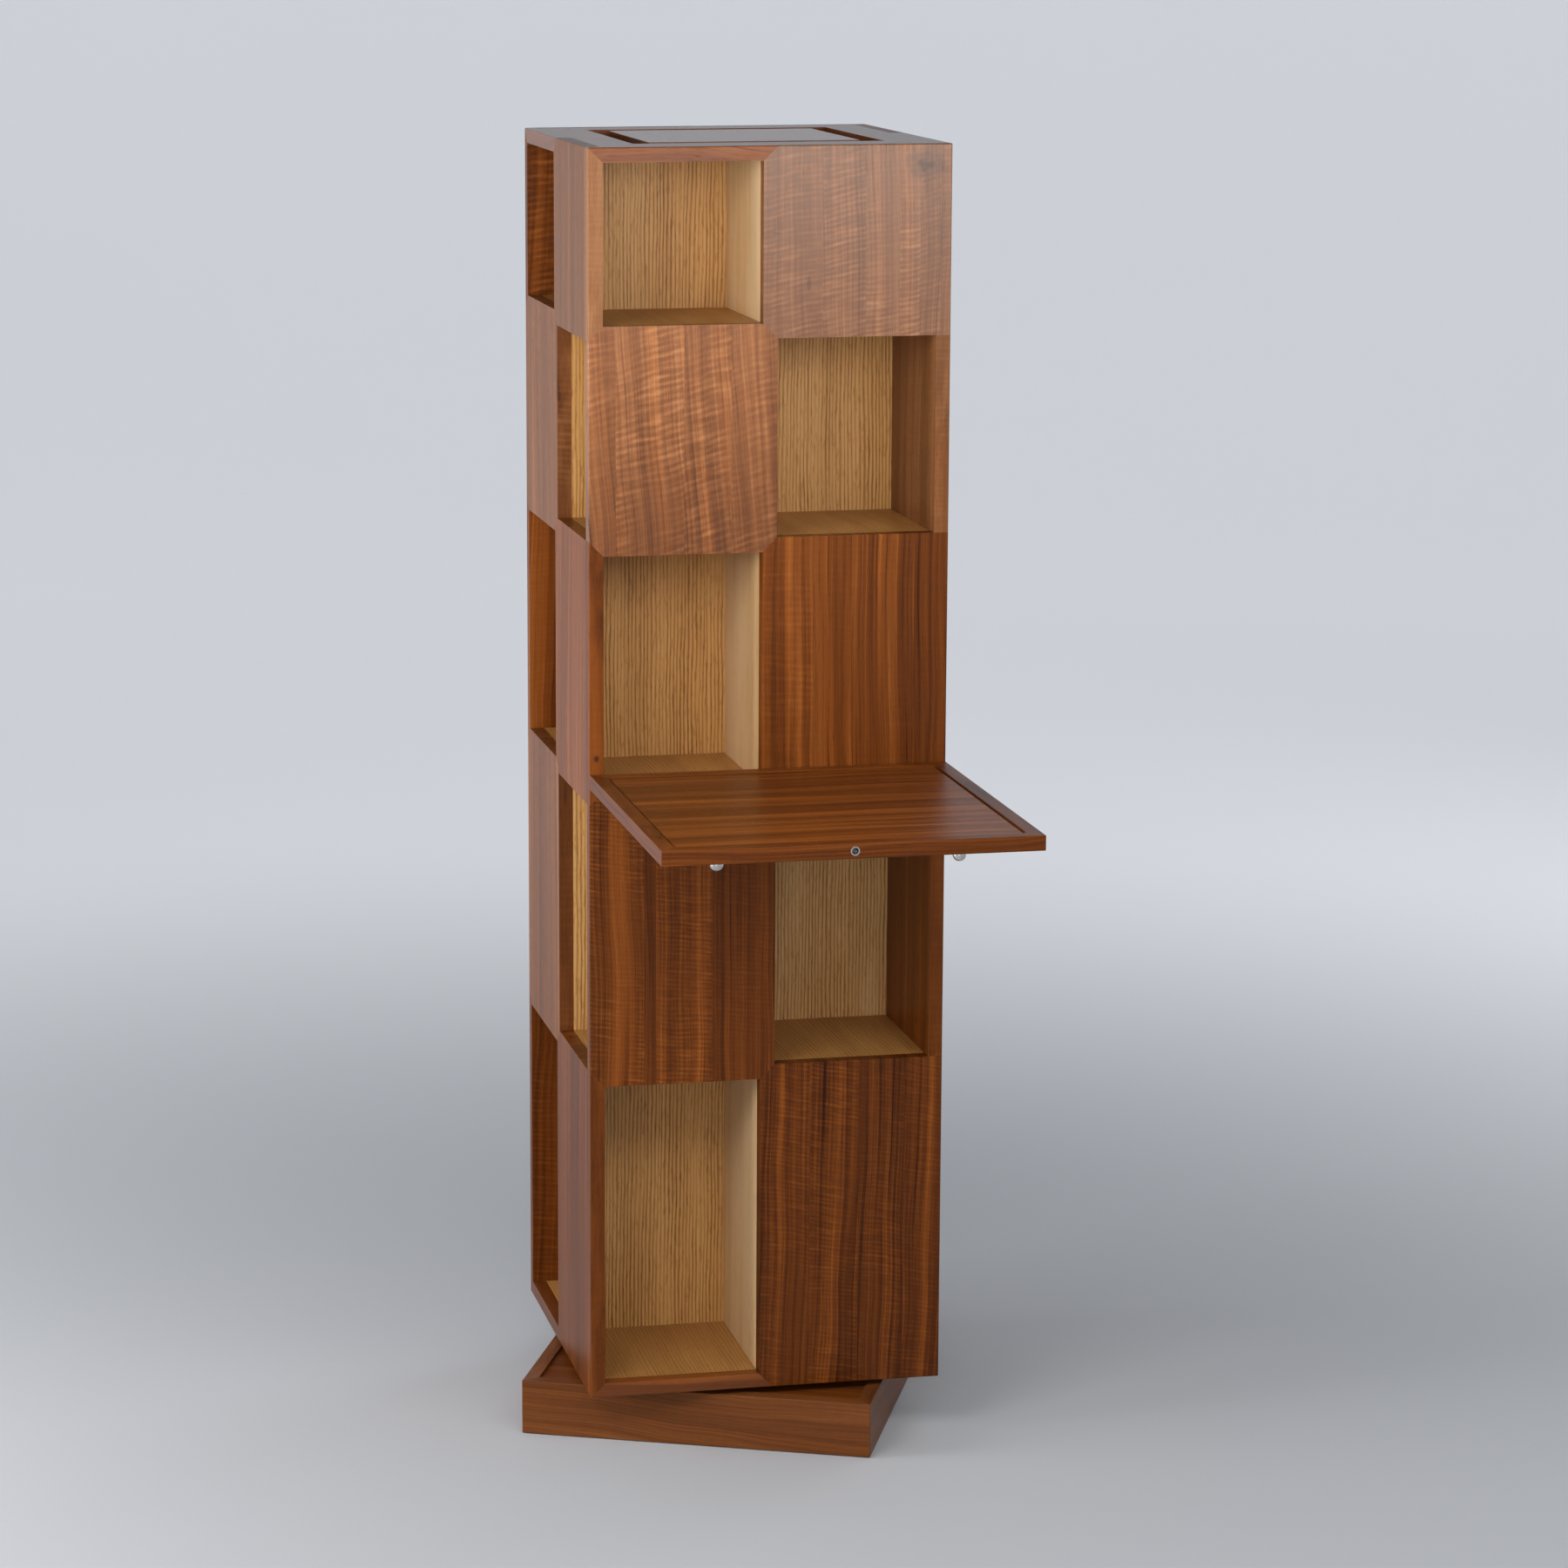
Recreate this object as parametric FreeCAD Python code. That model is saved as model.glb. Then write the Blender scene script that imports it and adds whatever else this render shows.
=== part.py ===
import FreeCAD, Part
import os
from math import cos, pi, sin

# Revolving album tower: a square walnut tower of five tiers on a square swivel plinth,
# with a cantilevered reading tray on its front.
# Frame: origin on the floor at the swivel axis, +Z up, the tower's front face towards -Y.
# All lengths in millimetres.

os.makedirs("parts", exist_ok=True)

# ---- driving dimensions ----
WIDTH = 420.0                     # tower width and depth
BOARD = 17.0                      # every solid board of the tower
CELL_HEIGHTS = (183.0, 227.0, 271.0, 315.0, 359.0)   # clear heights, top tier first
EASE = 1.5                        # rounding of the tower's outer arrises
FINE_EASE = 1.0                   # rounding of the plinth's and the tray's outer arrises

PLINTH_WIDTH = 420.0
PLINTH_HEIGHT = 66.0
PLINTH_RAIL = 17.0                # thickness of the plinth's side boards
PLINTH_TURN = -23.1               # degrees the tower is turned on the plinth, taken up by the plinth
PLINTH_RECESS = 3.0               # plinth panel below the plinth's rim
PLINTH_PANEL = 15.0
PLINTH_LIFT = 1.0                 # gap under the plinth's side boards
PLINTH_FLOOR = 12.0               # thickness of the plinth's bottom board
GLIDE_RADIUS = 11.0
GLIDE_HEIGHT = 4.0
GLIDE_INSET = 12.0                # glide axis from the inner faces of the side boards
SWIVEL_GAP = 7.0                  # plinth rim to tower underside

RACE_OUTER = 122.0                # ball race rings
RACE_INNER = 100.0
RACE_HEIGHT = 4.6
BALL_RADIUS = 3.0
BALL_GROOVE = 3.3                 # groove radius, which leaves 0.3 over the balls
BALL_COUNT = 28
BALL_CIRCLE = 111.0
LOWER_GROOVE_FLOOR = 2.2          # thickness left under the balls
SEAT_GAP = 0.05                   # clearance between the balls and the lower ring

TOP_RIM = 64.0                    # flat border of the top, outside the channel
CHANNEL_WIDTH = 23.0
CHANNEL_DEPTH = 12.0
TOP_PLY_INSET = 34.0              # lap of the thin board under the top border

TRAY_GAP = 1.0                    # tray to tower front face
TRAY_SIZE = 420.0
TRAY_THICK = 17.0
TRAY_RAIL = 17.0
TRAY_LIFT = 3.0                   # tray underside above the third tier's floor
TRAY_PANEL_DROP = 1.5             # tray panel below the tray's rails
SHADOW_WIDTH = 2.5                # shadow groove round the tray panel
SHADOW_DEPTH = 6.5

TUBE_RADIUS = 5.0
TUBE_BORE = 3.75
ROD_RADIUS = 3.7
ROD_SETBACK = 31.0                # rod's tip behind the tube's mouth
ROD_DEPTH = 360.0                 # rod inside the tower, from its front face
DOWEL_RADIUS = 3.0
DOWEL_CLEARANCE = 0.05
DOWEL_DEPTH = 14.0                # dowel in the tower's panel
DOWEL_REACH = 14.0                # dowel in the tray's rear rail
DOWEL_X = (60.0, 180.0)

PIN_RADIUS = 7.5
PIN_LENGTH = 24.0
PIN_INSET = 75.5                  # pin axis from the tray's outer edges
SPIGOT_RADIUS = 3.0
SPIGOT_LENGTH = 9.0

# ---- derived levels ----
HALF = WIDTH / 2
HALF_BOARD = BOARD / 2
INNER = HALF - BOARD
TOWER_BOTTOM = PLINTH_HEIGHT + SWIVEL_GAP
TIERS = len(CELL_HEIGHTS)

cells = []                        # (floor, ceiling) of each tier, top tier first
level = TOWER_BOTTOM + BOARD
for height in reversed(CELL_HEIGHTS):
    cells.insert(0, (level, level + height))
    level = level + height + BOARD
TOWER_TOP = level
TRAY_BOTTOM = cells[2][0] + TRAY_LIFT
TRAY_TOP = TRAY_BOTTOM + TRAY_THICK
TRAY_REAR = -HALF - TRAY_GAP
TRAY_FRONT = TRAY_REAR - TRAY_SIZE
ROD_Z = TRAY_BOTTOM + TRAY_THICK / 2

ORIGIN = FreeCAD.Vector(0, 0, 0)
UP = FreeCAD.Vector(0, 0, 1)
TO_BACK = FreeCAD.Vector(0, 1, 0)


def save(name, shape):
    """Write one node."""
    shape.exportStep("parts/" + name + ".step")


def box(x0, x1, y0, y1, z0, z1):
    """Box between two corners."""
    return Part.makeBox(x1 - x0, y1 - y0, z1 - z0, FreeCAD.Vector(x0, y0, z0))


def rod(radius, length, x, y, z, direction):
    """Cylinder that starts at a point."""
    return Part.makeCylinder(radius, length, FreeCAD.Vector(x, y, z), direction)


def slab(points, sweep):
    """Flat face through 3-D points, swept along a vector."""
    corners = [FreeCAD.Vector(*point) for point in points]
    wire = Part.makePolygon(corners + [corners[0]])
    return Part.Face(wire).extrude(sweep)


def turned(shape, degrees):
    """Copy of a shape turned about the swivel axis."""
    copy = shape.copy()
    copy.rotate(ORIGIN, UP, degrees)
    return copy


def eased_block(half, low, high, radius):
    """Square block about the swivel axis with its arrises rounded."""
    block = box(-half, half, -half, half, low, high)
    return block.makeFillet(radius, block.Edges)


def cut_all(shape, tools):
    """Shape less every tool."""
    for tool in tools:
        shape = shape.cut(tool)
    return shape.removeSplitter()


def opens_left(tier):
    """The first, third and fifth tiers are open in the left-hand column of each face."""
    return tier % 2 == 0


def face_panel(tier):
    """Closed half of the front face of a tier. A right-hand panel is mitred at its inner corners only,
    a left-hand one at all four."""
    floor, ceiling = cells[tier]
    low = floor - BOARD
    high = ceiling + BOARD
    if opens_left(tier):
        outline = [(HALF, low), (HALF, high)]
        outline += [(HALF_BOARD, high), (-HALF_BOARD, ceiling)]
        outline += [(-HALF_BOARD, floor), (HALF_BOARD, low)]
    else:
        outline = [(-HALF, floor), (-HALF, ceiling), (-INNER, high)]
        outline += [(-HALF_BOARD, high), (HALF_BOARD, ceiling)]
        outline += [(HALF_BOARD, floor), (-HALF_BOARD, low), (-INNER, low)]
    return slab([(x, -HALF, z) for x, z in outline], FreeCAD.Vector(0, BOARD, 0))


# ---- outer panels: four per tier, in a pinwheel ----
# a right-hand panel runs to the tower's corner and fits round the left-hand panels of the next face;
# at the top and bottom its edge is mitred to the boards that show over and under the open halves
top_mitre = slab([(HALF, -HALF, TOWER_TOP), (HALF, -INNER, TOWER_TOP - BOARD),
                  (HALF, -INNER, TOWER_TOP)], FreeCAD.Vector(-BOARD, 0, 0))
low_mitre = slab([(HALF, -HALF, TOWER_BOTTOM), (HALF, -INNER, TOWER_BOTTOM),
                  (HALF, -INNER, TOWER_BOTTOM + BOARD)], FreeCAD.Vector(-BOARD, 0, 0))
panels = {}
for tier in range(TIERS):
    panel = face_panel(tier)
    if opens_left(tier):
        near = [t for t in (tier - 1, tier + 1) if 0 <= t < TIERS]
        panel = cut_all(panel, [turned(face_panel(t), 90) for t in near])
    if tier == 0:
        panel = cut_all(panel, [top_mitre])
    if tier == TIERS - 1:
        panel = cut_all(panel, [low_mitre])
    for side, angle in (("front", 0), ("right", 90), ("back", 180), ("left", -90)):
        panels[(tier, side)] = turned(panel, angle)

# the guide rod runs through the third tier's front panel; two dowels stand in it
guide_rod = rod(ROD_RADIUS, TRAY_SIZE + TRAY_GAP - ROD_SETBACK + ROD_DEPTH,
                0, TRAY_FRONT + ROD_SETBACK, ROD_Z, TO_BACK)
dowels = [rod(DOWEL_RADIUS, DOWEL_REACH + TRAY_GAP + DOWEL_DEPTH,
              x, TRAY_REAR - DOWEL_REACH, ROD_Z, TO_BACK) for x in DOWEL_X]
panels[(2, "front")] = cut_all(panels[(2, "front")], [guide_rod] + dowels)

tower_block = eased_block(HALF, TOWER_BOTTOM, TOWER_TOP, EASE)
for (tier, side), shape in panels.items():
    save("panel_%d_%s" % (tier + 1, side), shape.common(tower_block))

# ---- partitions: two boards per tier, halved where they cross ----
for tier in range(TIERS):
    floor, ceiling = cells[tier]
    middle = (floor + ceiling) / 2
    deep = box(-HALF_BOARD, HALF_BOARD, -INNER, INNER, floor, ceiling)
    wide = box(-INNER, INNER, -HALF_BOARD, HALF_BOARD, floor, ceiling)
    crossing = box(-HALF_BOARD, HALF_BOARD, -HALF_BOARD, HALF_BOARD, floor, ceiling)
    upper_half = crossing.common(box(-HALF, HALF, -HALF, HALF, middle, ceiling))
    lower_half = crossing.common(box(-HALF, HALF, -HALF, HALF, floor, middle))
    deep = deep.cut(upper_half)
    if tier == 2:
        deep = deep.cut(guide_rod)
    save("partition_%d_deep" % (tier + 1), deep)
    save("partition_%d_wide" % (tier + 1), wide.cut(lower_half))

# ---- floor boards between the tiers, and the bottom board ----
for tier in range(TIERS):
    floor = cells[tier][0]
    near = [t for t in (tier, tier + 1) if t < TIERS]
    hard = [panels[(t, side)] for t in near for side in ("front", "right", "back", "left")]
    board = box(-HALF, HALF, -HALF, HALF, floor - BOARD, floor)
    name = "bottom_board" if tier == TIERS - 1 else "floor_board_%d" % (tier + 1)
    save(name, cut_all(board, hard).common(tower_block))

# ---- top: four mitred border boards, a thin board under them and a centre panel ----
top_low = TOWER_TOP - BOARD
ply_top = TOWER_TOP - CHANNEL_DEPTH
ply_edge = HALF - TOP_PLY_INSET
top_ply = box(-ply_edge, ply_edge, -ply_edge, ply_edge, top_low, ply_top)
rim_in = HALF - TOP_RIM
rail = slab([(-HALF, -HALF, top_low), (HALF, -HALF, top_low),
             (rim_in, -rim_in, top_low), (-rim_in, -rim_in, top_low)],
            FreeCAD.Vector(0, 0, BOARD))
tops = [panels[(0, side)] for side in ("front", "right", "back", "left")]
for side, angle in (("front", 0), ("right", 90), ("back", 180), ("left", -90)):
    border = cut_all(turned(rail, angle), [top_ply] + tops)
    save("top_border_" + side, border.common(tower_block))
save("top_thin_board", top_ply)
centre = rim_in - CHANNEL_WIDTH
save("top_centre_panel", box(-centre, centre, -centre, centre, ply_top, TOWER_TOP))

# ---- guide rod and dowels ----
save("tray_guide_rod", guide_rod)
save("tray_dowels", Part.makeCompound(dowels))

# ---- plinth: four mitred side boards, an inset panel, a bottom board and glides ----
plinth_half = PLINTH_WIDTH / 2
plinth_in = plinth_half - PLINTH_RAIL
rail = slab([(-plinth_half, -plinth_half, PLINTH_LIFT), (plinth_half, -plinth_half, PLINTH_LIFT),
             (plinth_in, -plinth_in, PLINTH_LIFT), (-plinth_in, -plinth_in, PLINTH_LIFT)],
            FreeCAD.Vector(0, 0, PLINTH_HEIGHT - PLINTH_LIFT))
rail = rail.common(eased_block(plinth_half, PLINTH_LIFT, PLINTH_HEIGHT, FINE_EASE))
for side, angle in (("front", 0), ("right", 90), ("back", 180), ("left", -90)):
    save("plinth_rail_" + side, turned(rail, angle + PLINTH_TURN))

panel_top = PLINTH_HEIGHT - PLINTH_RECESS
panel_low = panel_top - PLINTH_PANEL
panel = box(-plinth_in, plinth_in, -plinth_in, plinth_in, panel_low, panel_top)
save("plinth_panel", turned(panel, PLINTH_TURN))

floor_high = GLIDE_HEIGHT + PLINTH_FLOOR
board = box(-plinth_in, plinth_in, -plinth_in, plinth_in, GLIDE_HEIGHT, floor_high)
save("plinth_bottom_board", turned(board, PLINTH_TURN))

glide_at = plinth_in - GLIDE_INSET
spots = [(sx * glide_at, sy * glide_at) for sx in (-1, 1) for sy in (-1, 1)] + [(0, 0)]
glides = [rod(GLIDE_RADIUS, GLIDE_HEIGHT, x, y, 0, UP) for x, y in spots]
save("plinth_glides", Part.makeCompound([turned(glide, PLINTH_TURN) for glide in glides]))

# ---- ball race between plinth and tower ----
ball_z = panel_top + LOWER_GROOVE_FLOOR + BALL_RADIUS
lower_groove = Part.makeTorus(BALL_CIRCLE, BALL_GROOVE,
                              FreeCAD.Vector(0, 0, ball_z + BALL_GROOVE - BALL_RADIUS - SEAT_GAP))
upper_groove = Part.makeTorus(BALL_CIRCLE, BALL_GROOVE, FreeCAD.Vector(0, 0, ball_z))


def ring(z0, height):
    """Flat ring of the race."""
    outer = rod(RACE_OUTER, height, 0, 0, z0, UP)
    return outer.cut(rod(RACE_INNER, height, 0, 0, z0, UP))


save("race_lower_ring", ring(panel_top, RACE_HEIGHT).cut(lower_groove))
save("race_upper_ring", ring(TOWER_BOTTOM - RACE_HEIGHT, RACE_HEIGHT).cut(upper_groove))
balls = []
for index in range(BALL_COUNT):
    angle = 2 * pi * index / BALL_COUNT
    spot = FreeCAD.Vector(BALL_CIRCLE * cos(angle), BALL_CIRCLE * sin(angle), ball_z)
    balls.append(Part.makeSphere(BALL_RADIUS, spot))
save("race_balls", Part.makeCompound(balls))

# ---- tray: four mitred rails round a panel with a shadow groove ----
tray_half = TRAY_SIZE / 2
tray_y = TRAY_REAR - tray_half
tray_in = tray_half - TRAY_RAIL
rail = slab([(-tray_half, -tray_half, TRAY_BOTTOM), (tray_half, -tray_half, TRAY_BOTTOM),
             (tray_in, -tray_in, TRAY_BOTTOM), (-tray_in, -tray_in, TRAY_BOTTOM)],
            FreeCAD.Vector(0, 0, TRAY_THICK))
rail = rail.common(eased_block(tray_half, TRAY_BOTTOM, TRAY_TOP, FINE_EASE))
tube_full = rod(TUBE_RADIUS, TRAY_SIZE, 0, TRAY_FRONT, ROD_Z, TO_BACK)
tube_bore = rod(TUBE_BORE, TRAY_SIZE, 0, TRAY_FRONT, ROD_Z, TO_BACK)
dowel_holes = [rod(DOWEL_RADIUS + DOWEL_CLEARANCE, DOWEL_REACH,
                   x, TRAY_REAR - DOWEL_REACH, ROD_Z, TO_BACK) for x in DOWEL_X]
for side, angle in (("front", 0), ("right", 90), ("rear", 180), ("left", -90)):
    board = turned(rail, angle)
    board.translate(FreeCAD.Vector(0, tray_y, 0))
    save("tray_rail_" + side, cut_all(board, [tube_full] + dowel_holes))

pins = []
for sx in (-1, 1):
    for sy in (-1, 1):
        x = sx * (tray_half - PIN_INSET)
        y = tray_y + sy * (tray_half - PIN_INSET)
        tip = TRAY_BOTTOM - PIN_LENGTH + PIN_RADIUS
        shank = rod(PIN_RADIUS, TRAY_BOTTOM - tip, x, y, tip, UP)
        dome = Part.makeSphere(PIN_RADIUS, FreeCAD.Vector(x, y, tip))
        spigot = rod(SPIGOT_RADIUS, SPIGOT_LENGTH, x, y, TRAY_BOTTOM, UP)
        pins.append(shank.fuse(dome).fuse(spigot).removeSplitter())

groove_in = tray_in - SHADOW_WIDTH
panel_top = TRAY_TOP - TRAY_PANEL_DROP
groove_low = panel_top - SHADOW_DEPTH
lower = box(-tray_in, tray_in, tray_y - tray_in, tray_y + tray_in, TRAY_BOTTOM, groove_low)
upper = box(-groove_in, groove_in, tray_y - groove_in, tray_y + groove_in, groove_low, panel_top)
tray_panel = lower.fuse(upper).removeSplitter()
save("tray_panel", cut_all(tray_panel, [tube_full] + pins))
save("tray_tube", tube_full.cut(tube_bore))
save("tray_pins", Part.makeCompound(pins))
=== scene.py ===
import math
import random

import bmesh
import bpy
from mathutils import Matrix, Vector

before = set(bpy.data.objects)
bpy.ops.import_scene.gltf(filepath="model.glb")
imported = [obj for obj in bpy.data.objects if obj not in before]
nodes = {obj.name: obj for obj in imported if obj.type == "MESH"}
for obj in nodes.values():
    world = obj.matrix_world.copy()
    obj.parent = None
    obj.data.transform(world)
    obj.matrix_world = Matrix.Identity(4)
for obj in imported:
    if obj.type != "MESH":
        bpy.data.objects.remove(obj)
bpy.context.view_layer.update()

scene = bpy.context.scene
SIDES = ("front", "right", "back", "left")
TRAY_SIDES = ("front", "right", "rear", "left")
TIERS = 5
PLINTH_TURN = math.radians(23.1)      # the plinth's boards stand this far round from the tower's


# ---------------------------------------------------------------- node helpers
class Tree:
    """A material's node tree, with short calls for the nodes used here."""

    def __init__(self, name):
        self.mat = bpy.data.materials.new(name)
        self.mat.use_nodes = True
        self.tree = self.mat.node_tree
        self.tree.nodes.clear()
        out = self.tree.nodes.new("ShaderNodeOutputMaterial")
        self.bsdf = self.tree.nodes.new("ShaderNodeBsdfPrincipled")
        self.tree.links.new(self.bsdf.outputs[0], out.inputs[0])

    def put(self, socket, value):
        """Links a socket to another one, or sets its value."""
        if isinstance(value, bpy.types.NodeSocket):
            self.tree.links.new(value, socket)
        elif value is not None:
            socket.default_value = value

    def math(self, op, a, b=None, c=None, clamp=False):
        n = self.tree.nodes.new("ShaderNodeMath")
        n.operation = op
        n.use_clamp = clamp
        for i, v in enumerate((a, b, c)):
            self.put(n.inputs[i], v)
        return n.outputs[0]

    def centred(self, field, weight):
        """A 0 to 1 field measured from its middle, times a weight."""
        return self.math("MULTIPLY", self.math("SUBTRACT", field, 0.5), weight)

    def add_centred(self, field, weight, base):
        return self.math("MULTIPLY_ADD", self.math("SUBTRACT", field, 0.5), weight, base)

    def vec(self, op, a, b=None):
        n = self.tree.nodes.new("ShaderNodeVectorMath")
        n.operation = op
        self.put(n.inputs[0], a)
        self.put(n.inputs[1], b)
        return n.outputs["Value"] if op == "LENGTH" else n.outputs[0]

    def split(self, v):
        n = self.tree.nodes.new("ShaderNodeSeparateXYZ")
        self.put(n.inputs[0], v)
        return n.outputs

    def join(self, x, y, z):
        n = self.tree.nodes.new("ShaderNodeCombineXYZ")
        for i, v in enumerate((x, y, z)):
            self.put(n.inputs[i], v)
        return n.outputs[0]

    def position(self, turn=0.0):
        """Place on the object in metres, turned about the vertical axis."""
        n = self.tree.nodes.new("ShaderNodeTexCoord")
        if not turn:
            return n.outputs["Object"]
        m = self.tree.nodes.new("ShaderNodeMapping")
        m.inputs["Rotation"].default_value = (0, 0, turn)
        self.put(m.inputs["Vector"], n.outputs["Object"])
        return m.outputs[0]

    def noise(self, v, detail=2.0, rough=0.5, scale=1.0):
        n = self.tree.nodes.new("ShaderNodeTexNoise")
        self.put(n.inputs["Vector"], v)
        n.inputs["Scale"].default_value = scale
        n.inputs["Detail"].default_value = detail
        n.inputs["Roughness"].default_value = rough
        return n.outputs[0]

    def grain(self, p, stretch, detail=2.0, rough=0.5):
        """Noise with its own cycles per metre along each axis of p."""
        return self.noise(self.vec("MULTIPLY", p, stretch), detail, rough)

    def remap(self, v, a, b, lo=0.0, hi=1.0, smooth=True):
        n = self.tree.nodes.new("ShaderNodeMapRange")
        n.interpolation_type = "SMOOTHSTEP" if smooth else "LINEAR"
        for i, x in enumerate((v, a, b, lo, hi)):
            self.put(n.inputs[i], x)
        return n.outputs[0]

    def ramp(self, v, stops):
        n = self.tree.nodes.new("ShaderNodeValToRGB")
        els = n.color_ramp.elements
        while len(els) < len(stops):
            els.new(0.5)
        for e, (pos, col) in zip(els, stops):
            e.position = pos
            e.color = (*col, 1)
        self.put(n.inputs[0], v)
        return n.outputs[0]

    def mix(self, fac, a, b):
        n = self.tree.nodes.new("ShaderNodeMix")
        n.data_type = "RGBA"
        self.put(n.inputs[0], fac)
        for s, v in ((n.inputs[6], a), (n.inputs[7], b)):
            self.put(s, (*v, 1) if isinstance(v, tuple) else v)
        return n.outputs[2]

    def bump(self, height, distance):
        n = self.tree.nodes.new("ShaderNodeBump")
        n.inputs["Strength"].default_value = 1.0
        n.inputs["Distance"].default_value = distance
        self.put(n.inputs["Height"], height)
        return n.outputs[0]


def board_frame(t, axes, seed, turn=0.0):
    """Position as (across the face, through the board, along the grain), as if each board were
    cut from its own part of the tree."""
    x = t.split(t.position(turn))
    rng = random.Random(seed)
    move = tuple(rng.uniform(-CUT_SPREAD, CUT_SPREAD) for axis in "XYZ")
    p = t.join(*[x["XYZ".index(c)] for c in axes])
    return t.vec("ADD", p, move)


def across_of(t, axes, turn=0.0):
    """Place across the face, measured from the object's middle."""
    return t.split(t.position(turn))["XYZ".index(axes[0])]


# ---------------------------------------------------------------- wood colours, from dark to light
BROWN = [
    (0.00, (0.026, 0.0062, 0.0008)),
    (0.28, (0.078, 0.0185, 0.0022)),
    (0.50, (0.140, 0.0360, 0.0042)),
    (0.75, (0.235, 0.0700, 0.0120)),
    (1.00, (0.380, 0.1400, 0.0400)),
]
ORANGE = [
    (0.00, (0.060, 0.0130, 0.0020)),
    (0.50, (0.235, 0.0620, 0.0080)),
    (1.00, (0.470, 0.1650, 0.0340)),
]
PALE = [
    (0.00, (0.070, 0.0320, 0.0130)),
    (0.50, (0.185, 0.0930, 0.0430)),
    (1.00, (0.370, 0.2200, 0.1220)),
]
ASH = [
    (0.00, (0.170, 0.066, 0.014)),
    (0.35, (0.340, 0.155, 0.040)),
    (0.65, (0.520, 0.270, 0.080)),
    (0.90, (0.660, 0.400, 0.160)),
    (1.00, (0.780, 0.550, 0.310)),
]
KNOT = (0.035, 0.015, 0.007)

# Cycles per metre of each field of the walnut: across the face, through the board, along the grain
WALNUT_SWAY = (5, 5, 2.4)
WALNUT_WOBBLE = (30, 30, 8)
WALNUT_BROAD = (42, 16, 0.8)
WALNUT_BAND = (120, 30, 1.3)
WALNUT_LINES = (330, 60, 2.2)
WALNUT_FINE = (900, 400, 14)
WALNUT_PORES = (1500, 1500, 46)
WALNUT_GLOW = (55, 20, 0.9)
WALNUT_GLOW_SHIFT = (3.3, 0, 0.7)     # sets the orange patches apart from the streaks
WALNUT_ROLL = (11, 9, 7)
WALNUT_PATCH = (16, 6, 6)
WALNUT_LOOSE = (34, 12, 1.05)         # the last number is cycles per crest of the cross figure
TONE_SHIFT, FIGURE_SHIFT = 37.0, 11.0     # m, how far apart in the tree glued boards come from
ROLL_DEPTH = 0.016                    # m, how far the cross figure's crests bend
WAVE_SHARE, LOOSE_SHARE = 0.16, 1.5   # even waves and loose crests in the cross figure
CREST_FLOOR = -0.16                   # it has light crests, without dark troughs
PORE_LOW, PORE_HIGH = 0.60, 0.72      # where the pore noise turns into pores

# The same for the ash
ASH_SWAY = (6, 6, 2.6)
ASH_WOBBLE = (60, 40, 14)
ASH_UNEVEN = (55, 20, 1.2)
ASH_VARY = (60, 20, 5)
ASH_FINE = (800, 300, 16)
ASH_DASH = (480, 200, 60)
ASH_PORES = (1600, 1600, 60)
ASH_BROAD = (22, 8, 1.2)
ASH_PITCH = 0.0045                    # m between growth lines
ASH_WANDER = 0.004                    # m by which they wander
ASH_UNEVEN_TURNS = 9.0                # radians by which their spacing is uneven
ASH_SHARPNESS = 2.2                   # narrows the dark part of each line

CUT_SPREAD = 9                        # m, how far apart in the tree the boards come from
HALF_WIDTH = 0.21                     # m, of the tower
EDGE = 0.22                           # m, just outside it
FIELD_WIDE = 2 * EDGE                 # the strips' field runs across the object from -EDGE to EDGE
WOOD_RELIEF = 0.00012                 # m, depth of pores and growth lines
KNOT_WOBBLE = (140, 140, 90)          # cycles per metre of a knot's ragged edge


def strips_of(t, across, strips):
    """The glued-up boards of one panel: steps of tone, figure and orange, each from its board's
    starting place on."""
    n = t.tree.nodes.new("ShaderNodeValToRGB")
    n.color_ramp.interpolation = "CONSTANT"
    els = n.color_ramp.elements
    while len(els) < len(strips):
        els.new(0.5)
    while len(els) > len(strips):
        els.remove(els[-1])
    for e, (start, tone, figure, orange) in zip(els, strips):
        e.position = max(0.0, (start + EDGE) / FIELD_WIDE)
        e.color = (tone, figure, orange, 1)
    t.put(n.inputs[0], t.remap(across, -EDGE, EDGE, smooth=False))
    return t.split(n.outputs[0])


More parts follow.
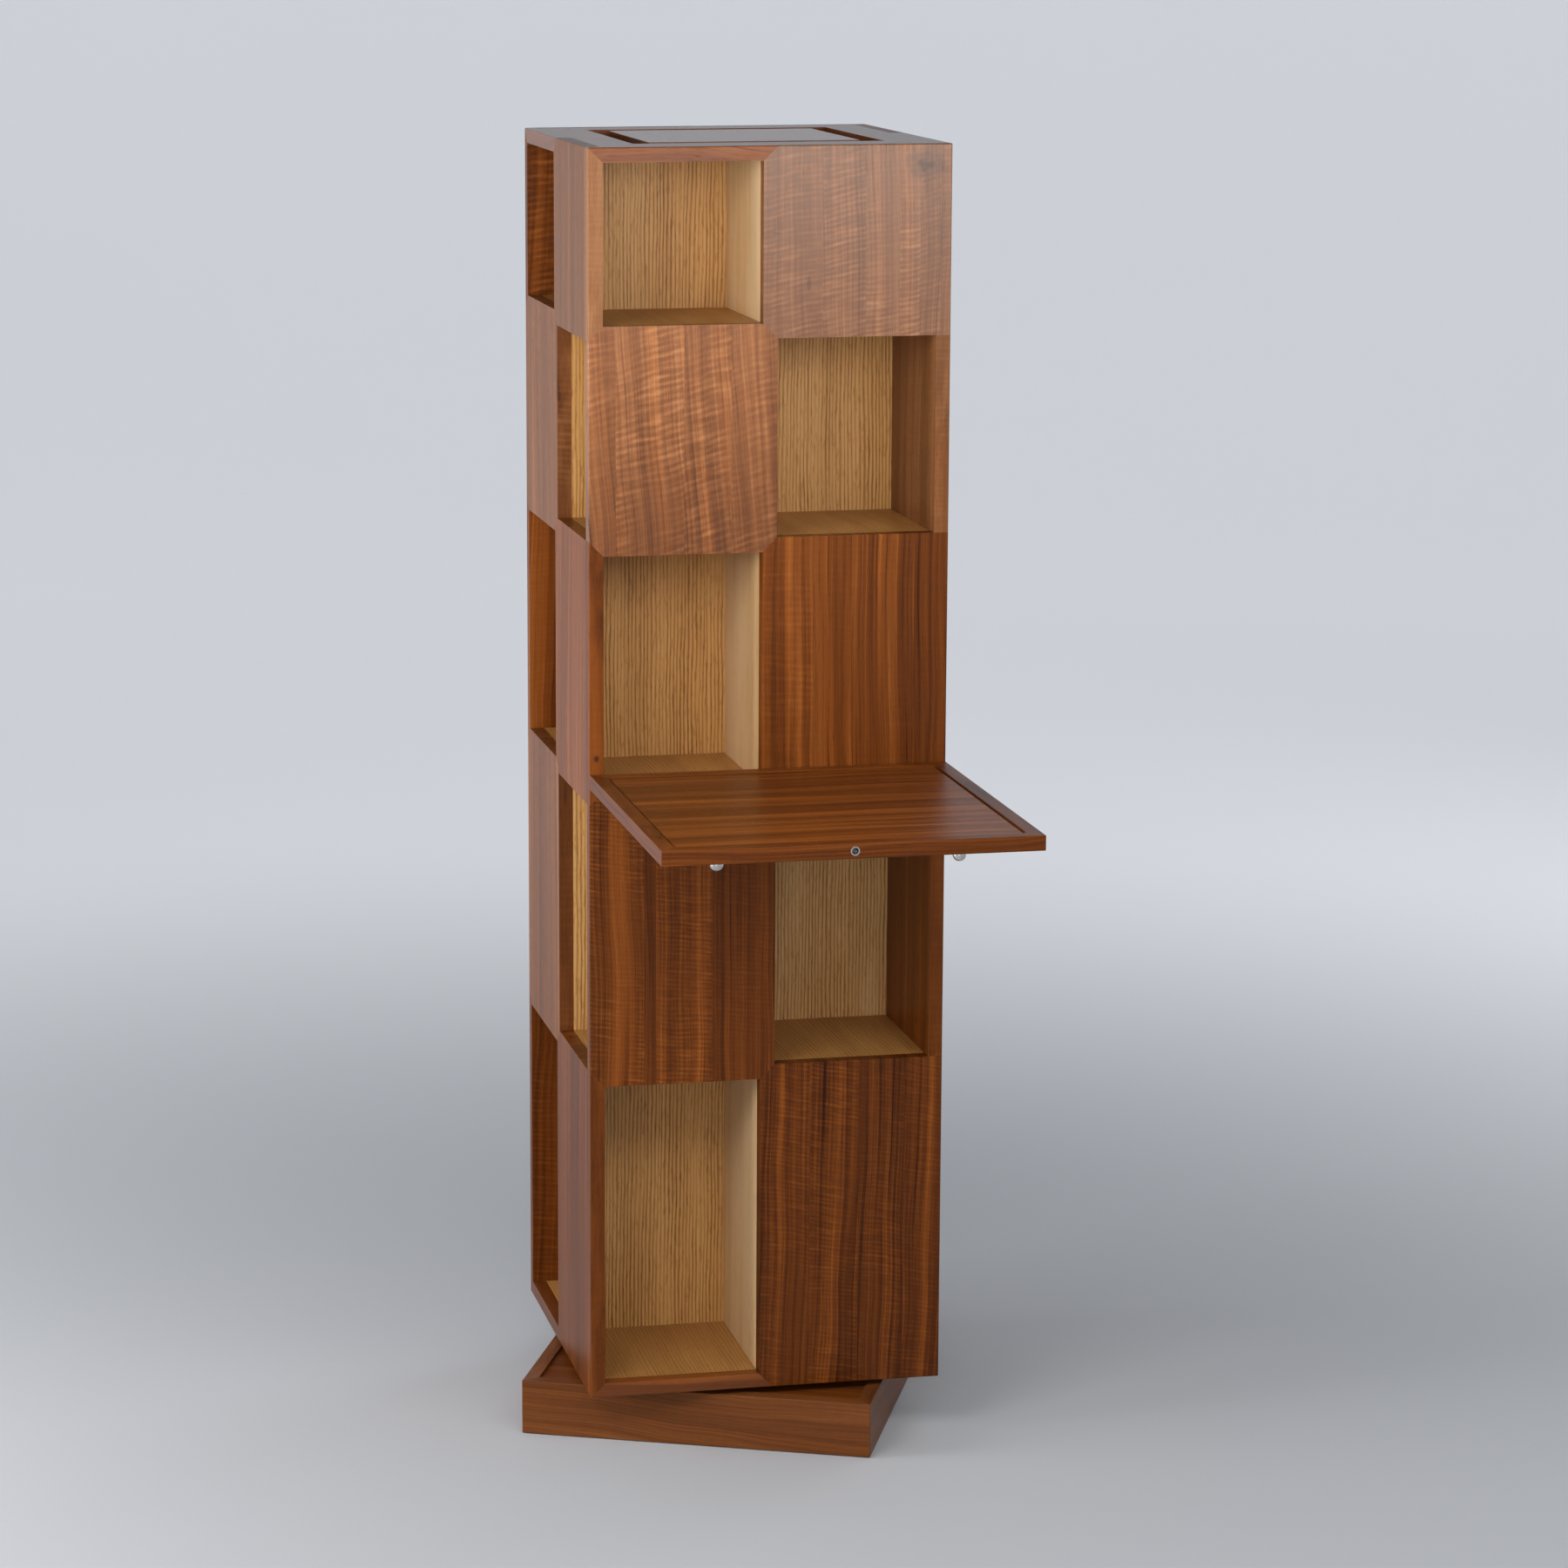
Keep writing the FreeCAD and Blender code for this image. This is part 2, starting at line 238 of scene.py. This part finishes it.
def walnut_colour(t, p, across, strips, streak=0.3, line=0.3, wander=0.010, lean=0.0, slant=0.15,
                  pitch=0.0075, pale=0.0, painted_light_by_height=None):
    """Walnut: glued boards, broad streaks, growth lines, pores and cross figure.

    streak and line are the strengths of streaks and growth lines. wander bends the grain and lean
    tilts it. slant and pitch (m) are the tilt and spacing of the cross figure. pale is the share of
    greyer wood. The last argument is painted light: (low z, high z, tone added at low, tone added
    at high), which makes the panel darker low down and lighter high up.
    Returns the colour, height and ripple fields."""
    tone, figure, orange = strips_of(t, across, strips)
    shift = t.math("MULTIPLY_ADD", tone, TONE_SHIFT, t.math("MULTIPLY", figure, FIGURE_SHIFT))
    sway = t.grain(p, WALNUT_SWAY)
    wobble = t.grain(p, WALNUT_WOBBLE, 1)
    a, d, g = t.split(p)
    push = t.math("ADD", t.centred(sway, wander * 4), t.centred(wobble, wander * 0.45))
    push = t.math("MULTIPLY_ADD", g, lean, push)
    a2 = t.math("ADD", t.math("ADD", a, push), shift)
    q = t.join(a2, d, g)
    broad = t.grain(q, WALNUT_BROAD, 2, 0.55)
    band = t.grain(q, WALNUT_BAND, 2, 0.6)
    lines = t.grain(q, WALNUT_LINES, 2, 0.6)
    fine = t.grain(q, WALNUT_FINE, 2, 0.6)
    pore = t.remap(t.grain(q, WALNUT_PORES, 1), PORE_LOW, PORE_HIGH)
    glow = t.grain(t.vec("ADD", q, WALNUT_GLOW_SHIFT), WALNUT_GLOW, 1)
    glow = t.math("MULTIPLY", t.remap(glow, 0.52, 0.66), orange)
    # cross figure: uneven light crests running nearly square to the grain
    roll = t.grain(q, WALNUT_ROLL)
    run = t.math("MULTIPLY_ADD", a, slant, t.math("MULTIPLY_ADD", roll, ROLL_DEPTH, g))
    wave = t.math("SINE", t.math("MULTIPLY", run, 2 * math.pi / pitch))
    across_loose, through_loose, along_loose = WALNUT_LOOSE
    loose = t.grain(t.join(a2, d, run), (across_loose, through_loose, along_loose / pitch), 2, 0.6)
    crest = t.math("ADD", t.math("MULTIPLY", wave, WAVE_SHARE), t.centred(loose, LOOSE_SHARE))
    crest = t.math("MAXIMUM", crest, CREST_FLOOR)
    patch = t.remap(t.grain(q, WALNUT_PATCH, 1), 0.32, 0.62, 0.2, 1.0)
    ripple = t.math("MULTIPLY", crest, t.math("MULTIPLY", patch, figure))
    # painted light: the tone changes with height, lighter high up and darker low down
    if painted_light_by_height:
        x, y, z = t.split(t.position())
        tone = t.math("ADD", tone, t.remap(z, *painted_light_by_height))
    v = t.add_centred(broad, streak * 1.5, tone)
    v = t.add_centred(band, streak * 1.3, v)
    v = t.add_centred(lines, line * 1.5, v)
    v = t.math("MULTIPLY_ADD", t.remap(lines, 0.36, 0.24), line * -0.5, v)
    v = t.add_centred(fine, 0.20, v)
    v = t.math("MULTIPLY_ADD", ripple, 0.62, v)
    v = t.math("MULTIPLY_ADD", pore, -0.10, v, clamp=True)
    colour = t.mix(glow, t.ramp(v, BROWN), t.ramp(v, ORANGE))
    if pale:
        colour = t.mix(pale, colour, t.ramp(v, PALE))
    height = t.math("SUBTRACT", t.math("MULTIPLY", fine, 0.5), t.math("MULTIPLY", pore, 0.8))
    return colour, height, ripple


def ash_colour(t, p, tone=0.62, contrast=0.5):
    """Ash: pale wood with thin, uneven, darker growth lines and short pores.
    Returns the colour, height and growth line fields."""
    sway = t.grain(p, ASH_SWAY)
    wobble = t.grain(p, ASH_WOBBLE)
    a, d, g = t.split(p)
    push = t.math("ADD", t.centred(sway, ASH_WANDER * 4), t.centred(wobble, ASH_PITCH * 0.9))
    a = t.math("ADD", a, push)
    q = t.join(a, d, g)
    uneven = t.grain(q, ASH_UNEVEN, 2, 0.6)
    lines = t.math("MULTIPLY", a, 2 * math.pi / ASH_PITCH)
    turns = t.math("MULTIPLY_ADD", uneven, ASH_UNEVEN_TURNS, lines)
    ring = t.math("MULTIPLY_ADD", t.math("SINE", turns), 0.5, 0.5)
    ring = t.math("POWER", ring, ASH_SHARPNESS)
    vary = t.grain(q, ASH_VARY)
    fine = t.grain(q, ASH_FINE, 2, 0.6)
    dash = t.grain(q, ASH_DASH, 2, 0.6)
    pores = t.grain(q, ASH_PORES, 1)
    pore = t.math("MULTIPLY", t.remap(pores, 0.56, 0.70), t.remap(ring, 0.3, 0.9, 0.25, 1.0))
    broad = t.grain(q, ASH_BROAD)
    strength = t.remap(vary, 0.28, 0.68, 0.30, 1.0)
    v = t.math("MULTIPLY_ADD", t.math("MULTIPLY", ring, strength), -0.62 * contrast, tone + 0.06)
    v = t.add_centred(broad, 0.40, v)
    v = t.add_centred(fine, 0.30, v)
    v = t.math("MULTIPLY_ADD", t.remap(dash, 0.54, 0.66), -0.20 * contrast, v)
    v = t.math("MULTIPLY_ADD", pore, -0.14, v, clamp=True)
    height = t.math("SUBTRACT", t.math("MULTIPLY", fine, 0.5), t.math("MULTIPLY", pore, 0.9))
    return t.ramp(v, ASH), height, ring


def mark(t, colour, spot, size, dark=0.75, ring=0.0):
    """Darkens the wood round a small knot or fleck, with a ragged edge and, for a knot, rings."""
    p = t.position()
    wobble = t.grain(p, KNOT_WOBBLE)
    away = t.vec("DIVIDE", t.vec("SUBTRACT", p, spot), size)
    r = t.math("ADD", t.vec("LENGTH", away), t.centred(wobble, 0.9))
    f = t.remap(r, 1.0, 0.25, 0.0, dark)
    if ring:
        swirl = t.math("MULTIPLY_ADD", t.math("SINE", t.math("MULTIPLY", r, ring)), 0.5, 0.5)
        f = t.math("MULTIPLY", f, t.math("MULTIPLY_ADD", swirl, 0.6, 0.4))
    return t.mix(f, colour, KNOT)


def finish_wood(t, colour, height, gloss_field, rough=0.38, relief=WOOD_RELIEF, sheen=0.28):
    """Satin lacquer: a little broken gloss that follows the figure."""
    b = t.bsdf
    t.put(b.inputs["Base Color"], colour)
    t.put(b.inputs["Roughness"], t.math("MULTIPLY_ADD", gloss_field, 0.15, rough))
    b.inputs["Specular IOR Level"].default_value = sheen
    t.put(b.inputs["Normal"], t.bump(height, relief))
    return t.mat


def walnut(name, axes, seed, strips, turn=0.0, marks=(), rough=0.36, sheen=0.12,
           relief=WOOD_RELIEF, **look):
    t = Tree(name)
    p = board_frame(t, axes, seed, turn)
    colour, height, ripple = walnut_colour(t, p, across_of(t, axes, turn), strips, **look)
    for m in marks:
        colour = mark(t, colour, *m)
    return finish_wood(t, colour, height, ripple, rough, relief, sheen)


def ash(name, axes, seed, **look):
    t = Tree(name)
    colour, height, ring = ash_colour(t, board_frame(t, axes, seed), **look)
    return finish_wood(t, colour, height, t.math("MULTIPLY", ring, 0.3), 0.42)


BOTTOM_FLOOR_HALF = 0.193             # m, half the width of the bottom board's ash floor


def ash_with_walnut_edge(name, seed):
    """Bottom board: an ash floor inside a walnut edge band, whose grain runs along each side."""
    t = Tree(name)
    pale, height, ring = ash_colour(t, board_frame(t, "XZY", seed), tone=0.46, contrast=0.35)
    x, y, z = t.split(t.position())
    ax, ay = t.math("ABSOLUTE", x), t.math("ABSOLUTE", y)
    along_x = t.math("GREATER_THAN", ay, ax)
    look = dict(streak=0.25, line=0.3)
    dark_x = walnut_colour(t, board_frame(t, "ZYX", seed + 1), z, plain(0.44, 0.8, 0.0), **look)[0]
    dark_y = walnut_colour(t, board_frame(t, "ZXY", seed + 2), z, plain(0.42, 0.6, 0.0), **look)[0]
    dark = t.mix(along_x, dark_y, dark_x)
    edge = t.math("GREATER_THAN", t.math("MAXIMUM", ax, ay), BOTTOM_FLOOR_HALF)
    return finish_wood(t, t.mix(edge, pale, dark), height, t.math("MULTIPLY", ring, 0.2))


STEEL_RELIEF = 0.00002                # m
STEEL_SHADE = 0.82                    # how dark its clouds are
STEEL_GLOSS_RANGE = 0.14


def steel(name, base, rough, scale=400.0, stretch=(1, 1, 1)):
    """Turned or polished steel with fine broken gloss."""
    t = Tree(name)
    n = t.noise(t.vec("MULTIPLY", t.position(), stretch), 3, 0.6, scale)
    cloud = t.remap(t.noise(t.position(), 2, 0.5, 60.0), 0.3, 0.7)
    shade = tuple(c * STEEL_SHADE for c in base)
    t.put(t.bsdf.inputs["Base Color"], t.mix(cloud, base, shade))
    t.bsdf.inputs["Metallic"].default_value = 1.0
    gloss = t.math("MULTIPLY_ADD", n, STEEL_GLOSS_RANGE, rough - STEEL_GLOSS_RANGE / 2)
    t.put(t.bsdf.inputs["Roughness"], gloss)
    t.put(t.bsdf.inputs["Normal"], t.bump(n, STEEL_RELIEF))
    return t.mat


# ---------------------------------------------------------------- boards
ARRIS = 0.0004                        # m, width of the broken arrises of walnut boards
ASH_ARRIS = 0.0003                    # m, and of ash ones
ARRIS_ANGLE = math.radians(50)        # edges that turn by more than this are broken
WELD_DISTANCE = 0.00001               # m, joins the corners that CAD faces share


def give(name, material):
    materials = nodes[name].data.materials
    materials.clear()
    materials.append(material)


def soften(name, width=ARRIS):
    """Breaks the sharp arrises of a CAD board a little, as a sanded board has them."""
    o = nodes[name]
    weld = o.modifiers.new("weld", "WELD")
    weld.merge_threshold = WELD_DISTANCE
    bevel = o.modifiers.new("arris", "BEVEL")
    bevel.width = width
    bevel.segments = 2
    bevel.limit_method = "ANGLE"
    bevel.angle_limit = ARRIS_ANGLE
    normal = o.modifiers.new("normals", "WEIGHTED_NORMAL")
    normal.keep_sharp = False


# glued boards of the panels whose boards can be seen: (start across, tone, cross figure, orange)
PANEL_STRIPS = {
    "panel_1_front": [(-EDGE, 0.54, 0.60, 0.2), (0.060, 0.57, 0.75, 0.2), (0.110, 0.56, 0.80, 0.3),
                      (0.149, 0.59, 0.90, 0.7), (0.172, 0.50, 0.55, 0.1), (0.196, 0.52, 0.70, 0.5)],
    "panel_1_back": [(-EDGE, 0.42, 0.90, 0.6), (-0.060, 0.48, 0.70, 0.5), (0.100, 0.42, 0.90, 0.7)],
    "panel_1_left": [(-EDGE, 0.68, 0.20, 1.0), (-0.185, 0.44, 0.20, 0.4), (-0.040, 0.48, 0.30, 0.5),
                     (0.090, 0.43, 0.25, 0.4)],
    "panel_2_front": [(-EDGE, 0.57, 0.75, 0.4), (-0.180, 0.59, 0.95, 0.8),
                      (-0.100, 0.56, 0.80, 0.7), (-0.045, 0.58, 0.75, 0.8)],
    "panel_3_front": [(-EDGE, 0.50, 0.30, 0.6), (0.0505, 0.52, 0.10, 0.5), (0.095, 0.46, 0.10, 0.9),
                      (0.170, 0.40, 0.10, 0.5)],
    "panel_3_left": [(-EDGE, 0.42, 0.10, 0.8), (-0.190, 0.54, 0.20, 0.5), (-0.060, 0.50, 0.30, 0.4),
                     (0.070, 0.55, 0.20, 0.6)],
    "panel_4_front": [(-EDGE, 0.45, 0.85, 0.8), (-0.147, 0.35, 0.25, 0.2),
                      (-0.133, 0.44, 0.70, 0.7), (-0.067, 0.38, 0.30, 0.3)],
    "panel_5_front": [(-EDGE, 0.33, 0.50, 0.6), (0.050, 0.34, 0.65, 0.7), (0.110, 0.29, 0.55, 0.5),
                      (0.165, 0.32, 0.40, 0.7)],
    "panel_5_left": [(-EDGE, 0.34, 0.10, 0.8), (-0.190, 0.40, 0.20, 0.5), (-0.080, 0.44, 0.30, 0.6),
                     (0.060, 0.40, 0.20, 0.4)],
}
# how the grain runs in the front panels
PANEL_GRAIN = {
    "panel_1_front": dict(streak=0.20, line=0.44, pitch=0.0062, slant=-0.16, pale=0.40, sheen=0.5,
                          rough=0.32),
    # panel_2_front's height setting is painted light: darker at its foot, lighter at its head
    "panel_2_front": dict(streak=0.34, line=0.40, pitch=0.0080, slant=-0.26, lean=0.07, pale=0.20,
                          sheen=0.32, rough=0.32, painted_light_by_height=(1.06, 1.28, -0.11, 0.10)),
    "panel_3_front": dict(streak=0.40, line=0.46, wander=0.006, pitch=0.0080, slant=0.05),
    "panel_4_front": dict(streak=0.32, line=0.50, wander=0.008, pitch=0.0054, slant=0.13),
    "panel_5_front": dict(streak=0.30, line=0.50, wander=0.008, pitch=0.0052, slant=0.16,
                          lean=-0.02),
}
# share of paler, greyer wood in panels whose grain is drawn at random
PANEL_PALE = {"panel_1_left": 0.45, "panel_2_left": 0.30, "panel_2_right": 0.40,
              "panel_4_left": 0.20}
# knots and flecks: place, half size, darkness and, for a knot, how close its rings are
PANEL_MARKS = {
    "panel_1_front": [((0.180, -0.21, 1.505), (0.032, 0.04, 0.020), 0.75, 11.0),
                      ((0.0440, -0.21, 1.375), (0.0035, 0.01, 0.013), 0.5),
                      ((0.006, -0.21, 1.4315), (0.008, 0.01, 0.0018), 0.5)],
    "panel_3_left": [((-0.2015, -0.21, 0.836), (0.0058, 0.012, 0.0068), 0.9, 7.0)],
}
DEEP_PAINTED_LIGHT_LOOK = dict(tone=0.96, contrast=0.15)    # partitions seen as a front cell's side; paler than the backs, which is painted light on these lit side walls
WIDE_TONE_AND_PAINTED_LIGHT = {1: 0.66, 2: 0.66, 3: 0.66, 4: 0.82, 5: 0.66}    # of those seen as its back, by tier; tier 4's higher tone is painted light, for light reaching its back wall below the tray


def random_strips(rng, tone):
    """Glued boards of random width and look, across the whole tower."""
    strips = []
    start = -EDGE
    while start < HALF_WIDTH:
        strips.append((start, tone + rng.uniform(-0.07, 0.07), rng.uniform(0.05, 0.7),
                       rng.uniform(0.2, 0.9)))
        start += rng.uniform(0.055, 0.095)
    return strips


def random_grain(rng):
    """How the grain runs in a panel that is not in PANEL_GRAIN."""
    return dict(streak=rng.uniform(0.24, 0.4), line=rng.uniform(0.25, 0.4),
                slant=rng.uniform(-0.25, 0.25), pitch=rng.uniform(0.006, 0.009),
                lean=rng.uniform(-0.05, 0.05))


def plain(tone, orange=0.6, figure=0.05):
    """One board all the way across."""
    return [(-EDGE, tone, figure, orange)]


draw = random.Random(7)
for tier in range(1, TIERS + 1):
    for i, side in enumerate(SIDES):
        name = "panel_%d_%s" % (tier, side)
        axes = "XYZ" if side in ("front", "back") else "YXZ"
        strips = PANEL_STRIPS.get(name) or random_strips(draw, 0.56 - 0.02 * tier)
        look = PANEL_GRAIN.get(name) or random_grain(draw)
        look.setdefault("pale", PANEL_PALE.get(name, 0.0))
        give(name, walnut("walnut_" + name, axes, 100 + tier * 10 + i, strips,
                          marks=PANEL_MARKS.get(name, ()), **look))
        soften(name)
    # the deep partitions' paler tone is painted light, for the cells' lit side walls
    give("partition_%d_deep" % tier, ash("ash_deep_%d" % tier, "YXZ", 300 + tier, **DEEP_PAINTED_LIGHT_LOOK))
    # tier 4's back wall is paler as painted light, for the light that reaches it under the tray
    give("partition_%d_wide" % tier, ash("ash_wide_%d" % tier, "XYZ", 320 + tier,
                                         tone=WIDE_TONE_AND_PAINTED_LIGHT[tier], contrast=0.85))
    soften("partition_%d_deep" % tier, ASH_ARRIS)
    soften("partition_%d_wide" % tier, ASH_ARRIS)
for tier in range(1, TIERS):
    name = "floor_board_%d" % tier
    give(name, ash("ash_" + name, "XZY", 340 + tier, tone=0.50, contrast=0.4))
    soften(name, ASH_ARRIS)
give("bottom_board", ash_with_walnut_edge("ash_bottom_board", 350))
soften("bottom_board")

for i, side in enumerate(SIDES):
    axes = "ZYX" if side in ("front", "back") else "ZXY"
    name = "top_border_" + side
    give(name, walnut("walnut_" + name, axes, 400 + i, plain(0.50, 0.8), streak=0.3, line=0.34,
                      wander=0.02, rough=0.27, sheen=0.25, relief=0.00005))
    soften(name)
    name = "plinth_rail_" + side
    give(name, walnut("walnut_" + name, axes, 420 + i, plain(0.48, 0.4), turn=PLINTH_TURN,
                      streak=0.32, line=0.36, wander=0.016, lean=0.06, pale=0.18))
    soften(name)
give("top_centre_panel", walnut("walnut_top_centre", "YZX", 441, plain(0.5, 0.6, 0.3), streak=0.3,
                                line=0.3, wander=0.02, rough=0.25, sheen=0.6, relief=0.00003))
give("top_thin_board", walnut("walnut_top_thin", "YZX", 442, plain(0.42), streak=0.25, line=0.25))
give("plinth_panel", walnut("walnut_plinth_panel", "YZX", 443, plain(0.45), turn=PLINTH_TURN,
                            streak=0.3, line=0.3, wander=0.02))
give("plinth_bottom_board", ash("ash_plinth_bottom", "YZX", 444))
for name in ("top_centre_panel", "top_thin_board", "plinth_panel", "plinth_bottom_board"):
    soften(name)

for i, side in enumerate(TRAY_SIDES):
    axes = "ZYX" if side in ("front", "rear") else "ZXY"
    name = "tray_rail_" + side
    give(name, walnut("walnut_" + name, axes, 460 + i, plain(0.36, 0.3), streak=0.3, line=0.44,
                      wander=0.014))
    soften(name)
give("tray_panel", walnut("walnut_tray_panel", "YZX", 470, random_strips(draw, 0.44), streak=0.34,
                          line=0.42, wander=0.012))
soften("tray_panel")

bright = steel("steel_bright", (0.66, 0.64, 0.61), 0.20)
turned = steel("steel_turned", (0.62, 0.60, 0.58), 0.26, 900.0, (1, 0.05, 1))
race = steel("steel_race", (0.42, 0.42, 0.42), 0.34)
for name in ("tray_pins", "tray_dowels"):
    give(name, bright)
for name in ("tray_tube", "tray_guide_rod"):
    give(name, turned)
for name in ("race_lower_ring", "race_upper_ring", "race_balls"):
    give(name, race)


def glide_plastic():
    """Black plastic with a fine grained surface."""
    t = Tree("glide_plastic")
    speck = t.noise(t.position(), 3, 0.6, 900.0)
    colour = t.mix(speck, (0.012, 0.011, 0.010), (0.030, 0.028, 0.026))
    t.put(t.bsdf.inputs["Base Color"], colour)
    t.put(t.bsdf.inputs["Roughness"], t.math("MULTIPLY_ADD", speck, 0.2, 0.5))
    t.put(t.bsdf.inputs["Normal"], t.bump(speck, 0.00005))
    return t.mat


give("plinth_glides", glide_plastic())


# ---------------------------------------------------------------- stage
WALL_RADIUS = 9.5                     # m, farther out than any camera stands
SWEEP_RADIUS = 3.0                    # m, of the curve from floor to wall
SWEEP_STEPS = 12
WALL_TOP = 7.0
AROUND = 96
FLOOR_RINGS = (2.0, 4.0, WALL_RADIUS - SWEEP_RADIUS)


def backdrop():
    """Pale round floor that sweeps up into a wall all round the object."""
    profile = [(r, 0.0) for r in FLOOR_RINGS]
    for i in range(1, SWEEP_STEPS + 1):
        a = math.pi / 2 * i / SWEEP_STEPS
        profile.append((WALL_RADIUS - SWEEP_RADIUS + SWEEP_RADIUS * math.sin(a),
                        SWEEP_RADIUS - SWEEP_RADIUS * math.cos(a)))
    profile.append((WALL_RADIUS, WALL_TOP))
    turns = [2 * math.pi * k / AROUND for k in range(AROUND)]
    bm = bmesh.new()
    centre = bm.verts.new((0, 0, 0))
    rings = [[bm.verts.new((r * math.cos(a), r * math.sin(a), z)) for a in turns]
             for r, z in profile]
    for k in range(AROUND):
        n = (k + 1) % AROUND
        bm.faces.new((centre, rings[0][k], rings[0][n]))
        for low_ring, high_ring in zip(rings, rings[1:]):
            bm.faces.new((low_ring[k], high_ring[k], high_ring[n], low_ring[n]))
    for face in bm.faces:
        face.smooth = True
    mesh = bpy.data.meshes.new("backdrop")
    bm.to_mesh(mesh)
    bm.free()
    obj = bpy.data.objects.new("backdrop", mesh)
    scene.collection.objects.link(obj)
    mesh.materials.append(backdrop_material())
    return obj


def backdrop_material():
    """Pale matt grey that glows softly away from the object, more behind it than in front."""
    t = Tree("backdrop")
    n = t.noise(t.position(), 4, 0.6, 1.2)
    t.put(t.bsdf.inputs["Base Color"], t.mix(n, (0.525, 0.540, 0.565), (0.500, 0.515, 0.540)))
    t.bsdf.inputs["Roughness"].default_value = 0.8
    x, y, z = t.split(t.position())
    far = t.remap(t.vec("LENGTH", t.join(x, y, 0.0)), 0.5, 3.4)
    glow = t.math("MULTIPLY", far, t.remap(y, -6.0, 4.0, 0.30, 0.42))
    t.bsdf.inputs["Emission Color"].default_value = (0.93, 0.96, 1.0, 1)
    t.put(t.bsdf.inputs["Emission Strength"], glow)
    t.mat.cycles.emission_sampling = "NONE"
    return t.mat


backdrop()


# name, place (m), target (m), size (m), watts, colour
LIGHTS = (
    ("key", (-1.1, -1.35, 1.65), (0.0, 0.0, 1.50), (0.9, 0.9), 19, (1.0, 0.97, 0.93)),
    ("front_top", (0.35, -1.75, 1.60), (0.1, 0.0, 1.45), (1.7, 0.50), 16, (1.0, 0.99, 0.98)),
    ("fill", (-1.0, -3.0, 0.90), (0.0, 0.0, 0.80), (1.2, 1.2), 13, (1.0, 0.98, 0.95)),
    ("back", (3.4, 2.1, 2.0), (0.0, 0.0, 0.9), (1.6, 1.6), 26, (0.97, 0.98, 1.0)),
    ("left", (-2.4, -0.2, 0.95), (0.0, 0.0, 0.80), (1.2, 1.2), 38, (0.98, 0.98, 1.0)),
)
for name, place, target, size, watts, colour in LIGHTS:
    light = bpy.data.lights.new(name, "AREA")
    light.shape = "RECTANGLE"
    light.size, light.size_y = size
    light.energy = watts
    light.color = colour
    lamp = bpy.data.objects.new(name, light)
    scene.collection.objects.link(lamp)
    lamp.location = place
    lamp.rotation_euler = (Vector(target) - Vector(place)).to_track_quat("-Z", "Y").to_euler()
    lamp.visible_camera = False

world = bpy.data.worlds.new("studio")
scene.world = world
world.use_nodes = True
sky = world.node_tree.nodes["Background"]
sky.inputs["Color"].default_value = (0.80, 0.85, 0.92, 1)
sky.inputs["Strength"].default_value = 0.16

# ---------------------------------------------------------------- camera
FRAME_PX = 1800.0
SENSOR_MM = 36.0
CAM_SPOT = (-1.123832, -5.208454, 1.826664)
CAM_YAW, CAM_PITCH, CAM_ROLL = 0.18937, 0.18413, -0.00128     # radians; pitch is downwards
CAM_FOCAL_PX = 5206.046
CAM_CENTRE_PX = (720.0, 828.0)        # the lens axis in the photograph, which is a crop
ahead = Vector((math.sin(CAM_YAW) * math.cos(CAM_PITCH), math.cos(CAM_YAW) * math.cos(CAM_PITCH),
                -math.sin(CAM_PITCH)))
level = Vector((math.cos(CAM_YAW), -math.sin(CAM_YAW), 0.0))
upright = level.cross(ahead)
right = level * math.cos(CAM_ROLL) + upright * math.sin(CAM_ROLL)
up = upright * math.cos(CAM_ROLL) - level * math.sin(CAM_ROLL)
cam_data = bpy.data.cameras.new("camera")
cam_data.sensor_width = SENSOR_MM
cam_data.lens = SENSOR_MM * CAM_FOCAL_PX / FRAME_PX
cam_data.shift_x = (FRAME_PX / 2 - CAM_CENTRE_PX[0]) / FRAME_PX
cam_data.shift_y = (CAM_CENTRE_PX[1] - FRAME_PX / 2) / FRAME_PX
cam_data.clip_end = 60.0
camera = bpy.data.objects.new("camera", cam_data)
scene.collection.objects.link(camera)
camera.matrix_world = (Matrix.Translation(CAM_SPOT)
                       @ Matrix((right, up, -ahead)).transposed().to_4x4())
scene.camera = camera
scene.view_settings.view_transform = "Standard"
